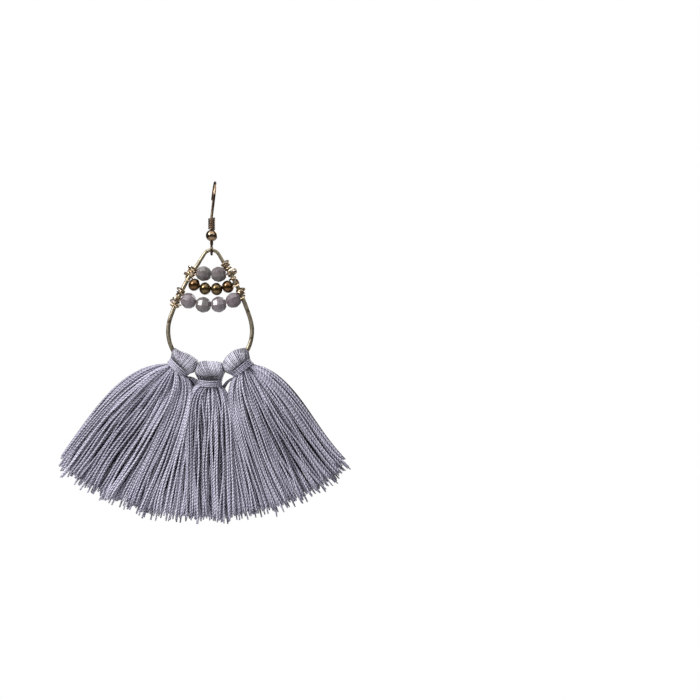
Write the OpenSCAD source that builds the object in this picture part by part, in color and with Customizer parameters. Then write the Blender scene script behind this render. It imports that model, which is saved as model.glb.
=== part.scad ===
// Drop earring: an ear wire, a teardrop hoop with three rows of beads, and three spread thread tassels.
// Millimetres, +Z up, the front faces -Y. The origin is where the ear wire rests in the ear:
// the underside of the wire at the top of its bend.

/* [Ear hook] */
// Thickness of the ear wire
hook_wire = 0.7; // [0.6:0.05:0.9]
// Radius of the bend over the ear, to the middle of the wire
hook_bend_r = 3.6; // [3.2:0.1:5]
// How far the bend runs down behind the ear, in degrees past its top
hook_bend_end = 75; // [65:1:85]
// Radius of the outward flare at the back end
flare_r = 1.6; // [1.2:0.1:2.5]
// Turn of the flare in degrees
flare_turn = 48; // [30:1:60]
// Straight tip after the flare
tip_len = 0.8; // [0.4:0.1:2]
// Height from the top of the bend to the top of the coil
hook_drop = 9.2; // [7.5:0.1:13]
// Turn of the bend's plane about the vertical, back end to the left
hook_yaw = 7; // [0:1:10]
// Lean of the bend and front leg to the right above the coil
hook_lean = 6.7; // [0:0.1:8]

/* [Coil, ball and eye] */
// Diameter of the straight stem that the coil and the ball sit on
stem_d = 0.78; // [0.74:0.02:0.9]
// Thickness of the coil's wire
coil_wire = 0.42; // [0.36:0.02:0.6]
// Turns of the coil
coil_turns = 6; // [4:1:8]
// Diameter of the ball
ball_d = 3; // [2.6:0.1:4]
// Bare stem between the ball and the eye
stem_len = 0.85; // [0.4:0.05:2]
// Thickness of the eye's wire
eye_wire = 0.6; // [0.5:0.05:0.8]
// Room round the hoop inside the eye
eye_gap = 0.25; // [0.2:0.05:0.5]

/* [Hoop] */
// Width of the hoop's wire as seen from the front
hoop_w = 1.1; // [0.9:0.05:1.4]
// Thickness of the hoop's hammered wire from front to back
hoop_t = 0.9; // [0.7:0.05:1.1]
// Radius of the round bottom, to the middle of the wire
hoop_r = 10.75; // [10:0.05:12.5]
// Radius of the gently bowed legs
leg_r = 64; // [50:1:90]
// Radius of the small bend at the top
apex_r = 2.2; // [1.8:0.1:3]
// Where the round bottom turns into the legs, in degrees above its middle
leg_start = 19; // [16:1:22]
// Lean of the whole drop to the left as it hangs
drop_lean = 1.1; // [0:0.1:3]

/* [Bead rows] */
// Size of the cut beads
cut_bead = 3.75; // [3.2:0.05:4]
// Size of the round bronze beads
round_bead = 2.85; // [2.5:0.05:3.1]
// Bore of the beads
bead_bore = 0.8; // [0.6:0.05:1]
// Gap between neighbours on one wire
bead_gap = 0.1; // [0.06:0.02:0.3]
// Turn from one bead to the next along the sagging row, in degrees
row_curve = 16; // [8:1:18]
// Depth of the top row below the top of the hoop
first_row = 6.05; // [5.6:0.05:8]
// Least gap between one row and the next
row_gap = 0.4; // [0.3:0.05:1.5]
// Gap between a full row's end beads and the hoop
end_room = 0.42; // [0.35:0.01:0.8]
// Thickness of the rows' wire
row_wire = 0.4; // [0.3:0.02:0.44]
// Gap between the hoop and the wire wound round it
wrap_gap = 0.14; // [0.1:0.01:0.2]

/* [Tassels] */
// Length of each tassel's head along the hoop
head_len = 7.4; // [6.5:0.1:8]
// Gap between neighbouring heads
head_gap = 0.2; // [0.15:0.05:0.5]
// Height of the heads across the hoop
head_tall = 4.6; // [4:0.1:5.4]
// Depth of the heads from front to back
head_deep = 6.2; // [5.4:0.1:7]
// How far the middle of a head lies inside the line of the hoop
head_in = 0.95; // [0.6:0.05:1.2]
// Gap round the hoop inside the heads
tunnel_gap = 0.12; // [0.08:0.02:0.25]
// Diameter of a tassel's neck under its binding
neck_d = 5.7; // [5:0.1:6.2]
// Distance from the hoop's line to the middle of the neck
neck_out = 2; // [1.8:0.1:3]
// Thickness of the binding thread
bind_thread = 0.45; // [0.35:0.01:0.6]
// Turns of the binding thread
bind_turns = 4; // [3:1:5]
// Radius of the skirts' hem about the middle of the hoop's round bottom
hem_r = 50; // [40:1:65]
// Depth of the skirts from front to back
skirt_deep = 5; // [3.5:0.1:6.5]
// Locks in a full skirt
locks = 13; // [9:1:14]
// Gap between neighbouring skirts
skirt_gap = 0.4; // [0.3:0.05:1]

/* [Hidden] */
METAL_COPPER = [0.54, 0.42, 0.31];
METAL_HOOP = [0.52, 0.47, 0.38];
METAL_WIRE = [0.60, 0.49, 0.33];
BEAD_GREY = [0.50, 0.46, 0.49];
BEAD_BRONZE = [0.36, 0.27, 0.17];
THREAD = [0.55, 0.54, 0.61];

// Small gap between a piece and what is threaded through it
slip = 0.06;
// Sides of round shapes that become facets
lock_sides = 8;
head_sides = 12;
wire_sides = 5;
hook_sides = 8;
hoop_sides = 8;
turn_steps = 10;
bend_steps = 14;
flare_steps = 4;

// Places along the stem, from the top of the bend down
hook_top = hook_wire / 2;
coil_top = hook_top - hook_drop;
coil_pitch = coil_wire + slip / 2;
coil_len = coil_turns * coil_pitch + coil_wire;
ball_z = coil_top - coil_len - slip - ball_d / 2;
eye_in = hoop_w / 2 + eye_gap;
eye_r = eye_in + eye_wire / 2;
eye_z = ball_z - ball_d / 2 - stem_len - eye_in - eye_wire;
stem_x = bent(-hook_bend_r, -hook_drop)[0];
stem_y = bent(-hook_bend_r, -hook_drop)[1];
stem_top = bent(-hook_bend_r, -hook_drop)[2];

// The hoop's arcs meet smoothly: the leg's centre, the top bend's centre, and the turn where they meet
leg_x = (leg_r - hoop_r) * cos(leg_start);
leg_z = -(leg_r - hoop_r) * sin(leg_start);
leg_end = acos(leg_x / (leg_r - apex_r));
apex_z = leg_z + (leg_r - apex_r) * sin(leg_end);
hoop_top = apex_z + apex_r;

// The wound wire's distance from the middle of the hoop's wire, the side of the leg where it starts in degrees
// towards the back, and the point before that: its side, distance and way along as shares of the start's
wrap_r = (hoop_w / 2 + wrap_gap + row_wire / 2) / cos(180 / turn_steps);
wrap_side = -95;
wrap_lead = [-50, 1.2, 0.35];

// Rows: name, beads, size, cut with facets, tilt in degrees, wound turns left and right,
// the spacing of those turns as a share of the wire's thickness, below zero where they run down,
// and how far along the leg they start
ROW_NAME = 0;
ROW_COUNT = 1;
ROW_SIZE = 2;
ROW_CUT = 3;
ROW_TILT = 4;
ROW_TURNS = 5;
ROW_PITCH = 6;
ROW_START = 7;
ROWS = [
    ["top", 2, cut_bead, true, 1.2, [2.5, 3], [-1.7, 1.4], [0.35, 2.15]],
    ["mid", 4, round_bead, false, 1.5, [2.5, 2], [-1.9, 1.6], [0.35, 1.1]],
    ["low", 4, cut_bead, true, -1.5, [4.5, 2.5], [-1.6, 1.4], [0.35, 1.45]],
];

// Cut beads: rings of facets along the bead's axis, as shares of its half size
CUT_ALONG = 0;
CUT_RADIUS = 1;
CUTS = [[-0.94, 0.44], [-0.68, 0.80], [-0.24, 1], [0.24, 1], [0.68, 0.80], [0.94, 0.44]];
cut_sides = 8;

// Heads: shares of the head's half length, with the height and depth there as shares of the full ones
HEAD_AT = 0;
HEAD_SIZE = 1;
HEAD_INNER = [[0, 1], [0.5, 0.95], [0.8, 0.84], [1, 0.72]];
HEAD_FREE = [[0, 1], [0.5, 0.90], [0.8, 0.64], [1, 0.40]];
head_bands = 9;
band_dip = 0.92;
band_reach = 0.58;

// Edges of the skirts from left to right: the hem's place about the hoop's middle in degrees from straight
// down, its radius as a share of hem_r, and the way the threads reach it
EDGE_HEM = 0;
EDGE_SHARE = 1;
EDGE_REACH = 2;
EDGES = [
    [-48.9, 1.04, -38],
    [-8.8, 0.985, -6],
    [9.6, 0.98, 7],
    [47.9, 1.03, 42],
];
reach_pull = 0.34;

// Tassels: name, heads away from the middle one, share of neck_out, the tables of the head's two ends,
// share of the locks, the way the threads leave the neck at the skirt's two edges, and how far they keep it
// as a share of their length
TASSEL_NAME = 0;
TASSEL_STEP = 1;
TASSEL_NECK = 2;
TASSEL_ENDS = 3;
TASSEL_LOCKS = 4;
TASSEL_LEAVE = 5;
TASSEL_PULL = 6;
TASSELS = [
    ["left", -1, 0.93, [HEAD_FREE, HEAD_INNER], 1, [-90, 30], [0.27, 0.13]],
    ["mid", 0, 1.2, [HEAD_INNER, HEAD_INNER], 0.55, [-56, 56], [0.10, 0.10]],
    ["right", 1, 0.93, [HEAD_INNER, HEAD_FREE], 1, [-30, 84], [0.13, 0.24]],
];
mid_turn = 1;

// Locks: rings from neck to tip, as shares of the way to the hem and of the full width and depth
LOCK_AT = 0;
LOCK_WIDE = 1;
LOCK_DEEP = 2;
LOCK_RINGS = [[0, 1, 1], [0.1, 1, 1], [0.28, 1.05, 1.05], [0.5, 1.1, 1.1], [0.75, 1, 1.05], [0.93, 0.8, 0.85], [1, 0.3, 0.4]];
LOCK_REACH = [0.98, 1, 0.965, 0.99, 0.975, 1, 0.96];
lock_lap = 0.22;
lock_root = 0.12;
neck_skirt = 0.45;
lock_stagger = 0.11;

BEAD_NODES = [for (row = ROWS) for (k = [1:row[ROW_COUNT]]) str("bead_", row[ROW_NAME], "_", k)];

function unit(v) = v / norm(v);
function mix(a, b, t) = a + (b - a) * t;
function smooth(t) = t * t * (3 - 2 * t);

// A point at an angle from straight down, positive to the right, in the plane of the hoop
function down(turn, r = 1) = [r * sin(turn), 0, -r * cos(turn)];

// A value read from a table of two columns, between its rows
function between(table, at, i = 0) =
    i >= len(table) - 2 || at <= table[i + 1][0]
        ? mix(table[i][1], table[i + 1][1], (at - table[i][0]) / (table[i + 1][0] - table[i][0]))
        : between(table, at, i + 1);

// A closed skin over rings that all have the same number of points
module skin(rings, closed = false) {
    n = len(rings[0]);
    count = len(rings);
    sides = [for (i = [0:count - (closed ? 1 : 2)]) for (j = [0:n - 1])
        let (next = (i + 1) % count, beside = (j + 1) % n)
        [i * n + j, i * n + beside, next * n + beside, next * n + j]];
    halves = [for (q = sides) for (t = [[q[0], q[1], q[2]], [q[0], q[2], q[3]]]) t];
    start = [for (j = [n - 1:-1:0]) j];
    end = [for (j = [0:n - 1]) (count - 1) * n + j];
    polyhedron([for (ring = rings) for (p = ring) p], concat(halves, closed ? [] : [start, end]));
}

// Directions across a path, carried along it without twist
function heading(path, i) = unit(path[min(i + 1, len(path) - 1)] - path[max(i - 1, 0)]);
function level(v, along) = unit(v - (v * along) * along);
function across(path, i = 0, was = [0.3, 1, 0.2]) =
    i >= len(path) ? [] :
    let (now = level(was, heading(path, i))) concat([now], across(path, i + 1, now));

// Round wire swept along a path
module wire(path, d, sides = wire_sides) {
    normals = across(path);
    skin([for (i = [0:len(path) - 1])
        let (n = normals[i], m = cross(heading(path, i), n))
        [for (j = [0:sides - 1]) path[i] + d / 2 * (cos(-360 * j / sides) * n + sin(-360 * j / sides) * m)]]);
}

// The frame of the hanging drop: its origin is the middle of the hoop's wire in the eye
module hang() {
    translate([stem_x, stem_y, eye_z])
        rotate([0, drop_lean, 0])
        children();
}

// A point of the bent wire: how far behind the top of the bend, and how high, in the bend's own plane
function bent(back, up) =
    let (x = up * sin(hook_lean))
    [x * cos(hook_yaw) - back * sin(hook_yaw), x * sin(hook_yaw) + back * cos(hook_yaw), hook_top + up * cos(hook_lean)];

module ear_hook() {
    flare_end = hook_bend_end - flare_turn;
    flare_back = (hook_bend_r + flare_r) * sin(hook_bend_end);
    flare_up = (hook_bend_r + flare_r) * cos(hook_bend_end) - hook_bend_r;
    tip_back = flare_back - flare_r * sin(flare_end);
    tip_up = flare_up - flare_r * cos(flare_end);
    bend = [for (i = [0:bend_steps])
        let (a = mix(-90, hook_bend_end, i / bend_steps))
        bent(hook_bend_r * sin(a), hook_bend_r * (cos(a) - 1))];
    flare = [for (i = [1:flare_steps])
        let (a = mix(hook_bend_end, flare_end, i / flare_steps))
        bent(flare_back - flare_r * sin(a), flare_up - flare_r * cos(a))];
    foot = bent(-hook_bend_r, -hook_drop);
    tip = bent(tip_back + tip_len * cos(flare_end), tip_up - tip_len * sin(flare_end));
    color(METAL_COPPER) {
        wire(concat([foot - [0, 0, 2 * stem_d], foot], bend, flare, [tip]), hook_wire, hook_sides);
        translate([stem_x, stem_y, eye_z + eye_r])
            cylinder(h = stem_top - eye_z - eye_r, d = stem_d, $fn = 24);
        translate([stem_x, stem_y, eye_z])
            rotate([0, 90, 0])
            rotate_extrude($fn = 48)
            translate([eye_r, 0])
            circle(d = eye_wire, $fn = 24);
    }
}

module hook_coil() {
    r = stem_d / 2 + slip + coil_wire / 2;
    steps = coil_turns * turn_steps;
    path = [for (i = [0:steps])
        [r * cos(360 * i / turn_steps), r * sin(360 * i / turn_steps), -coil_wire / 2 - coil_pitch * i / turn_steps]];
    color(METAL_COPPER)
        translate([stem_x, stem_y, coil_top])
        wire(path, coil_wire);
}

module hook_ball() {
    color(METAL_COPPER)
        translate([stem_x, stem_y, ball_z])
        difference() {
            sphere(d = ball_d, $fn = 48);
            cylinder(h = ball_d + 1, d = stem_d + 2 * slip, center = true, $fn = 24);
        }
}

// Arcs of the hoop, anticlockwise from the front: centre, radius, first and last angle, steps
HOOP_ARCS = [
    [[0, 0, 0], hoop_r, 180 - leg_start, 360 + leg_start, 26],
    [[-leg_x, 0, leg_z], leg_r, leg_start, leg_end, 5],
    [[0, 0, apex_z], apex_r, leg_end, 180 - leg_end, 10],
    [[leg_x, 0, leg_z], leg_r, 180 - leg_end, 180 - leg_start, 5],
];

// The hammered wire's section round a point of an arc: round, with its front and back beaten flat
function hoop_ring(centre, r, turn) =
    [for (j = [0:hoop_sides - 1])
        let (
            a = -360 * (j + 0.5) / hoop_sides,
            out = r + hoop_w / 2 * cos(a) / cos(180 / hoop_sides),
            deep = max(-hoop_t / 2, min(hoop_t / 2, hoop_w / 2 * sin(a)))
        )
        centre + [out * cos(turn), deep, out * sin(turn)]];

module hoop() {
    color(METAL_HOOP)
        hang()
        translate([0, 0, -hoop_top])
        skin([for (arc = HOOP_ARCS) for (i = [0:arc[4] - 1])
            hoop_ring(arc[0], arc[1], mix(arc[2], arc[3], i / arc[4]))], closed = true);
}

// Rows of beads. Each row lies on an arc, so its beads touch along a sagging wire.
function row_size(i) = ROWS[i][ROW_SIZE];
function row_last(i) = ROWS[i][ROW_COUNT] - 1;
function row_arc(i) = (row_size(i) + bead_gap) / (2 * sin(row_curve / 2));
function row_turn(i, k) = (k - row_last(i) / 2) * row_curve;

// Depth at which a row just fits between the legs, and the depth it hangs at: as high as the legs
// and the row above let it
function fit_depth(i) =
    let (
        side = row_turn(i, row_last(i)),
        half = row_arc(i) * sin(side) + row_size(i) / 2 + end_room,
        inner = leg_r - hoop_w / 2,
        turn = acos((half + leg_x) / inner)
    )
    hoop_top - leg_z - inner * sin(turn) + row_arc(i) * (1 - cos(side));
function row_depth(i) =
    i == 0 ? first_row : max(
        row_depth(i - 1) + (row_size(i - 1) + row_size(i)) / 2 + row_gap,
        fit_depth(i)
    );

// Middle of a bead and the way its bore runs, in the frame of the drop
function tilted(v, a) = [v[0] * cos(a) + v[2] * sin(a), v[1], v[2] * cos(a) - v[0] * sin(a)];
function bead_turn(i, k) = ROWS[i][ROW_TILT] - row_turn(i, k);
function bead_at(i, k) =
    [0, 0, -row_depth(i)]
    + tilted([row_arc(i) * sin(row_turn(i, k)), 0, row_arc(i) * (1 - cos(row_turn(i, k)))], ROWS[i][ROW_TILT]);
function bore_way(i, k) = tilted([1, 0, 0], bead_turn(i, k));

module cut_bead_body(size, spin) {
    skin([for (c = CUTS) [for (j = [0:cut_sides - 1])
        let (a = spin - 360 * j / cut_sides)
        size / 2 * [c[CUT_ALONG], c[CUT_RADIUS] * cos(a), c[CUT_RADIUS] * sin(a)]]]);
}

module bead(i, k) {
    size = row_size(i);
    color(ROWS[i][ROW_CUT] ? BEAD_GREY : BEAD_BRONZE)
        hang()
        translate(bead_at(i, k))
        rotate([0, bead_turn(i, k), 0])
        difference() {
            if (ROWS[i][ROW_CUT])
                cut_bead_body(size, 37 * k + 11 * i);
            else
                sphere(d = size, $fn = 48);
            rotate([0, 90, 0])
                cylinder(h = size + 1, d = bead_bore, center = true, $fn = 24);
        }
}

// The wire of a row: wound round the left leg, through every bead, and wound round the right leg.
// A leg's point is given by its turn about the leg's centre.
function leg_at(side, turn) = [side * (leg_r * cos(turn) - leg_x), 0, leg_z + leg_r * sin(turn) - hoop_top];
function leg_in(side, turn) = [-side * cos(turn), 0, -sin(turn)];
function leg_turn(z) = asin((z + hoop_top - leg_z) / leg_r);
function round_leg(side, level, along, way, share = 1) =
    let (turn = leg_turn(level) + along * 180 / (PI * leg_r))
    leg_at(side, turn) + share * wrap_r * (cos(way) * leg_in(side, turn) + [0, sin(way), 0]);
function wound(side, level, start, turns, pitch) = concat(
    [round_leg(side, level, sign(pitch) * start * wrap_lead[2], wrap_lead[0], wrap_lead[1])],
    [for (i = [0:turns * turn_steps])
        round_leg(side, level, sign(pitch) * start + pitch * i / turn_steps, wrap_side - 360 * i / turn_steps)]);
function backwards(list) = [for (i = [len(list) - 1:-1:0]) list[i]];
function row_end(i, side) =
    let (
        k = side < 0 ? 0 : row_last(i),
        row = ROWS[i],
        column = side < 0 ? 0 : 1,
        z = bead_at(i, k)[2] + side * bore_way(i, k)[2] * row_size(i) / 2
    )
    wound(side, z, row[ROW_START][column], row[ROW_TURNS][column], row[ROW_PITCH][column] * row_wire);

module row_wire_body(i) {
    reach = row_size(i) / 2 + bead_gap / 2;
    threaded = [for (k = [0:row_last(i)]) for (side = [-1, 1]) bead_at(i, k) + side * reach * bore_way(i, k)];
    color(METAL_WIRE)
        hang()
        wire(concat(backwards(row_end(i, -1)), threaded, row_end(i, 1)), row_wire);
}

// Tassels, in a frame whose origin is the middle of the hoop's round bottom
head_half = head_len / 2 / hoop_r * 180 / PI;
head_step = (head_len + head_gap) / hoop_r * 180 / PI;
bind_pitch = bind_thread * 0.9;
bind_tall = bind_pitch * (bind_turns - 1) + bind_thread;
function tassel_turn(t) = mid_turn + t[TASSEL_STEP] * head_step;
function neck_r(t) = hoop_r + neck_out * t[TASSEL_NECK];
function neck_end(t) = neck_r(t) + bind_tall / 2 + slip;

// A ring of points round the hoop's line, part of a head. Its first point is shifted by a share of one side.
function head_ring(t, at, dip, shift) =
    let (
        size = dip * between(t[TASSEL_ENDS][at < 0 ? 0 : 1], abs(at)),
        turn = tassel_turn(t) + at * head_half,
        middle = hoop_r - head_in * (size + 0.2)
    )
    [for (j = [0:head_sides - 1])
        let (a = 360 * (j + shift) / head_sides)
        down(turn, middle + head_tall / 2 * size * cos(a)) + [0, head_deep / 2 * (0.25 + 0.75 * size) * sin(a), 0]];

// The head: bands of thread laid over the hoop side by side, every other one turned by half a side
module head(t) {
    step = 2 / head_bands;
    for (i = [0:head_bands - 1])
        let (middle = -1 + (i + 0.5) * step, reach = step * band_reach, shift = 0.5 * (i % 2))
        hull()
        skin([
            head_ring(t, max(-1, middle - reach), band_dip, shift),
            head_ring(t, middle, 1, shift),
            head_ring(t, min(1, middle + reach), band_dip, shift)
        ]);
}

module neck(t) {
    rotate([0, 180 - tassel_turn(t), 0])
        translate([0, 0, hoop_r - head_in])
        cylinder(h = neck_end(t) + neck_skirt - hoop_r + head_in, d = neck_d + bind_thread, $fn = 16);
}

// The way of one thread from neck to hem: where it stands across the skirt is a share from 0 to 1
function skirt_edge(i, share, column) = mix(EDGES[i][column], EDGES[i + 1][column], share);
function hem_shift(i, share) = skirt_gap / 2 * ((i > 0 ? 1 - share : 0) - (i < len(TASSELS) - 1 ? share : 0));
function thread_at(i, share, at) =
    let (
        t = TASSELS[i],
        turn = tassel_turn(t),
        from = down(turn, neck_end(t) + lock_root) + (share - 0.5) * (neck_d - 0.5) * [cos(turn), 0, sin(turn)],
        to = down(skirt_edge(i, share, EDGE_HEM), hem_r * skirt_edge(i, share, EDGE_SHARE)) + [hem_shift(i, share), 0, 0],
        long = norm(to - from),
        leave = from + down(mix(t[TASSEL_LEAVE][0], t[TASSEL_LEAVE][1], share),
            long * mix(t[TASSEL_PULL][0], t[TASSEL_PULL][1], share)),
        reach = to - down(skirt_edge(i, share, EDGE_REACH), reach_pull * long)
    )
    pow(1 - at, 3) * from + 3 * pow(1 - at, 2) * at * leave + 3 * (1 - at) * at * at * reach + pow(at, 3) * to;

// A lock of the skirt, from its share of the neck to its own ragged tip
module lock(i, k, count) {
    left = max(0, (k - lock_lap) / count);
    right = min(1, (k + 1 + lock_lap) / count);
    middle = (left + right) / 2;
    neck_deep = neck_d / 2 * sqrt(max(0.15, 1 - pow(2 * middle - 1, 2)));
    reach = LOCK_REACH[(k + 2 * i) % len(LOCK_REACH)];
    side = k % 2 == 0 ? 1 : -1;
    skin([for (ring = LOCK_RINGS)
        let (
            at = ring[LOCK_AT] * reach,
            a = thread_at(i, left, at),
            b = thread_at(i, right, at),
            wide = (b - a) / 2 * min(ring[LOCK_WIDE], 1),
            deep = mix(neck_deep, skirt_deep / 2, smooth(min(1, at * 3))) * ring[LOCK_DEEP],
            off = [0, side * lock_stagger * skirt_deep * smooth(min(1, at * 3)), 0]
        )
        [for (j = [0:lock_sides - 1])
            let (turn = 360 * (j + 0.5) / lock_sides)
            (a + b) / 2 + off + cos(turn) * wide / cos(180 / lock_sides) + [0, deep * sin(turn), 0]]]);
}

// The groove that the binding lies in, round the neck
module binding_room(t) {
    rotate([0, 180 - tassel_turn(t), 0])
        translate([0, 0, neck_r(t) - bind_tall / 2 - slip])
        difference() {
            cylinder(h = bind_tall + 2 * slip, r = neck_d / 2 + 4 * bind_thread, $fn = 24);
            cylinder(h = bind_tall + 2 * slip, d = neck_d, $fn = 16);
        }
}

module tunnel(t) {
    room = 1.4 * head_half;
    rotate([90, 0, 0])
        rotate([0, 0, tassel_turn(t) - 90 - room])
        rotate_extrude(angle = 2 * room, $fn = 60)
        translate([hoop_r, 0])
        circle(d = hoop_w + 2 * tunnel_gap, $fn = 12);
}

module tassel(i) {
    t = TASSELS[i];
    count = round(locks * t[TASSEL_LOCKS]);
    color(THREAD)
        hang()
        translate([0, 0, -hoop_top])
        difference() {
            union() {
                head(t);
                neck(t);
                for (k = [0:count - 1])
                    lock(i, k, count);
            }
            binding_room(t);
            tunnel(t);
        }
}

module binding(i) {
    t = TASSELS[i];
    inner = neck_d / 2 + slip;
    color(THREAD * 0.85)
        hang()
        translate([0, 0, -hoop_top])
        rotate([0, 180 - tassel_turn(t), 0])
        translate([0, 0, neck_r(t)])
        rotate_extrude($fn = 64)
        union() {
            for (k = [0:bind_turns - 1])
                translate([inner + bind_thread / 2, (k - (bind_turns - 1) / 2) * bind_pitch])
                circle(d = bind_thread, $fn = 24);
            translate([inner, -(bind_turns - 1) / 2 * bind_pitch])
                square([bind_thread / 2, (bind_turns - 1) * bind_pitch]);
        }
}

ear_hook();
hook_coil();
hook_ball();
hoop();
for (i = [0:len(ROWS) - 1])
    for (k = [0:row_last(i)])
        bead(i, k);
for (i = [0:len(ROWS) - 1])
    row_wire_body(i);
for (i = [0:len(TASSELS) - 1]) {
    tassel(i);
    binding(i);
}
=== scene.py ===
import random
from math import acos, asin, cos, pi, radians, sin, sqrt

import bpy
import numpy as np
from mathutils import Matrix, Vector


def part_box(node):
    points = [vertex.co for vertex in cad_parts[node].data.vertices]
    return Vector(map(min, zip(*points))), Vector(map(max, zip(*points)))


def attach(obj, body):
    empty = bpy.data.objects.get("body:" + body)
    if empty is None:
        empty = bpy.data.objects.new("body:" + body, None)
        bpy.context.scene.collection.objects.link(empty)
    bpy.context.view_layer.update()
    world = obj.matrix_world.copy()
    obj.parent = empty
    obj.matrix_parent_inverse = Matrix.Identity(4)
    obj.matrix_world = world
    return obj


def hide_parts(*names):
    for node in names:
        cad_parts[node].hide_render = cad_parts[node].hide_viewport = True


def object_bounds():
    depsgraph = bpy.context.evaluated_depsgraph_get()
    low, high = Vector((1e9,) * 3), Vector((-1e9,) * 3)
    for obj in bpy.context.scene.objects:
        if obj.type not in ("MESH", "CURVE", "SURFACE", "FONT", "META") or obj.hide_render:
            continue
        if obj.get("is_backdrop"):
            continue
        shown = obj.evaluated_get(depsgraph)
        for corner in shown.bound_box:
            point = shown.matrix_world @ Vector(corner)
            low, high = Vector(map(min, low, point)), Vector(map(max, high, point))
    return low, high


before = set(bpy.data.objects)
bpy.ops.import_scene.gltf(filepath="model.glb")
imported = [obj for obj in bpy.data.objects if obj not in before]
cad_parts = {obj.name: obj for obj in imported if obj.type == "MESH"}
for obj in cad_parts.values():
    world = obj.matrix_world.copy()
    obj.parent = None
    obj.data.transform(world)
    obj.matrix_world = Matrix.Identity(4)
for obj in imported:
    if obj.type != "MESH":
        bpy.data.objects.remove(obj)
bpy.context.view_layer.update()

# The ear wire: one length of round wire, copper plated and antiqued brown, polished where it is touched.
# It is bent over the ear, runs down through the coil and the ball, and is curled into a closed eye.
# The bend's plane is turned and leans a little, as it hangs in the photo. All sizes are in millimetres.
HOOK_WIRE, BEND_R, BEND_END = 0.7, 3.6, 75
FLARE_R, FLARE_TURN, TIP, TIP_SHARE = 1.6, 48, 0.8, 0.82
HOOK_DROP, HOOK_YAW, HOOK_LEAN = 9.2, radians(7), radians(6.7)
EYE = Vector((-0.62664, -3.70398, -17.28))
EYE_R, EYE_WIRE, EYE_TURN = 1.1, 0.6, 345
STEM_LEVELS, STEM_SHARE = (1.35, 1.7, 3, 5, 7), 1.18


def bent(back, up):
    """A point of the bend: how far behind its top, and how high, in the bend's own leaning plane."""
    side = up * sin(HOOK_LEAN)
    return Vector((side * cos(HOOK_YAW) - back * sin(HOOK_YAW),
                   side * sin(HOOK_YAW) + back * cos(HOOK_YAW),
                   HOOK_WIRE / 2 + up * cos(HOOK_LEAN)))


def arc(centre_back, centre_up, r, first, last, steps):
    """Points of the bend on an arc, from one angle to another, in degrees from straight up."""
    turns = [radians(first + (last - first) * i / steps) for i in range(steps + 1)]
    return [bent(centre_back + r * sin(a), centre_up + r * cos(a)) for a in turns]


def select_only(piece):
    bpy.ops.object.select_all(action="DESELECT")
    bpy.context.view_layer.objects.active = piece
    piece.select_set(True)


def close_and_smooth(piece, angle=45):
    """Turns every face outwards and smooths the edges flatter than the angle."""
    select_only(piece)
    bpy.ops.object.mode_set(mode="EDIT")
    bpy.ops.mesh.select_all(action="SELECT")
    bpy.ops.mesh.remove_doubles(threshold=1e-7)
    bpy.ops.mesh.normals_make_consistent(inside=False)
    bpy.ops.object.mode_set(mode="OBJECT")
    bpy.ops.object.shade_smooth_by_angle(angle=radians(angle))
    return piece


def wire_along(name, points, thickness, widths=None, closed=False, fine=4):
    """A round wire along points in millimetres. widths are shares of its thickness, one a point."""
    bpy.ops.object.select_all(action="DESELECT")
    bpy.ops.curve.primitive_nurbs_path_add(location=(0, 0, 0))
    wire = bpy.context.object
    wire.name = wire.data.name = name
    spline = wire.data.splines[0]
    spline.type = "POLY"
    spline.points.add(len(points) - len(spline.points))
    for i, p in enumerate(points):
        spline.points[i].co = (p[0] / 1000, p[1] / 1000, p[2] / 1000, 1)
        spline.points[i].radius = widths[i] if widths else 1
    spline.use_cyclic_u = closed
    wire.data.bevel_depth = thickness / 2000
    wire.data.bevel_resolution = fine
    wire.data.use_fill_caps = not closed
    bpy.ops.object.convert(target="MESH")
    return close_and_smooth(bpy.context.object)


flare_back = (BEND_R + FLARE_R) * sin(radians(BEND_END))
flare_up = (BEND_R + FLARE_R) * cos(radians(BEND_END)) - BEND_R
flare_end = BEND_END - FLARE_TURN
flare = arc(flare_back, flare_up, -FLARE_R, BEND_END, flare_end, 10)
tip = bent(flare_back - FLARE_R * sin(radians(flare_end)) + TIP * cos(radians(flare_end)),
           flare_up - FLARE_R * cos(radians(flare_end)) - TIP * sin(radians(flare_end)))
leg_up = [bent(-BEND_R, -BEND_R - (HOOK_DROP - BEND_R) * i / 8) for i in range(8, 0, -1)]
eye_turns = [radians(90 - EYE_TURN * i / 40) for i in range(41)]
eye_ring = [EYE + Vector((0, -EYE_R * cos(a), EYE_R * sin(a))) for a in eye_turns]
stem = [EYE + Vector((0, 0, z)) for z in STEM_LEVELS]
hook_path = eye_ring[::-1] + stem + leg_up + arc(0, -BEND_R, BEND_R, -90, BEND_END, 36) + flare[1:] + [tip]
hook_widths = ([EYE_WIRE / HOOK_WIRE] * len(eye_ring) + [1.0, STEM_SHARE, STEM_SHARE]
               + [1.0] * (len(hook_path) - len(eye_ring) - 4) + [TIP_SHARE])
ear_wire = wire_along("ear_wire", hook_path, HOOK_WIRE, hook_widths, fine=5)


def new_group(name, inputs, outputs):
    """A shader node group with named sockets: inputs are (name, kind, value), outputs are (name, kind)."""
    group = bpy.data.node_groups.new(name, "ShaderNodeTree")
    for label, kind, value in inputs:
        socket = group.interface.new_socket(name=label, in_out="INPUT", socket_type="NodeSocket" + kind)
        if value is not None:
            socket.default_value = value
    for label, kind in outputs:
        group.interface.new_socket(name=label, in_out="OUTPUT", socket_type="NodeSocket" + kind)
    entry, out = group.nodes.new("NodeGroupInput"), group.nodes.new("NodeGroupOutput")
    entry.location, out.location = (-900, 0), (700, 0)
    return group, entry, out


def new_material(name):
    """A material, with its node tree and its shader."""
    made = bpy.data.materials.new(name)
    made.use_nodes = True
    return made, made.node_tree, made.node_tree.nodes["Principled BSDF"]


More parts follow.
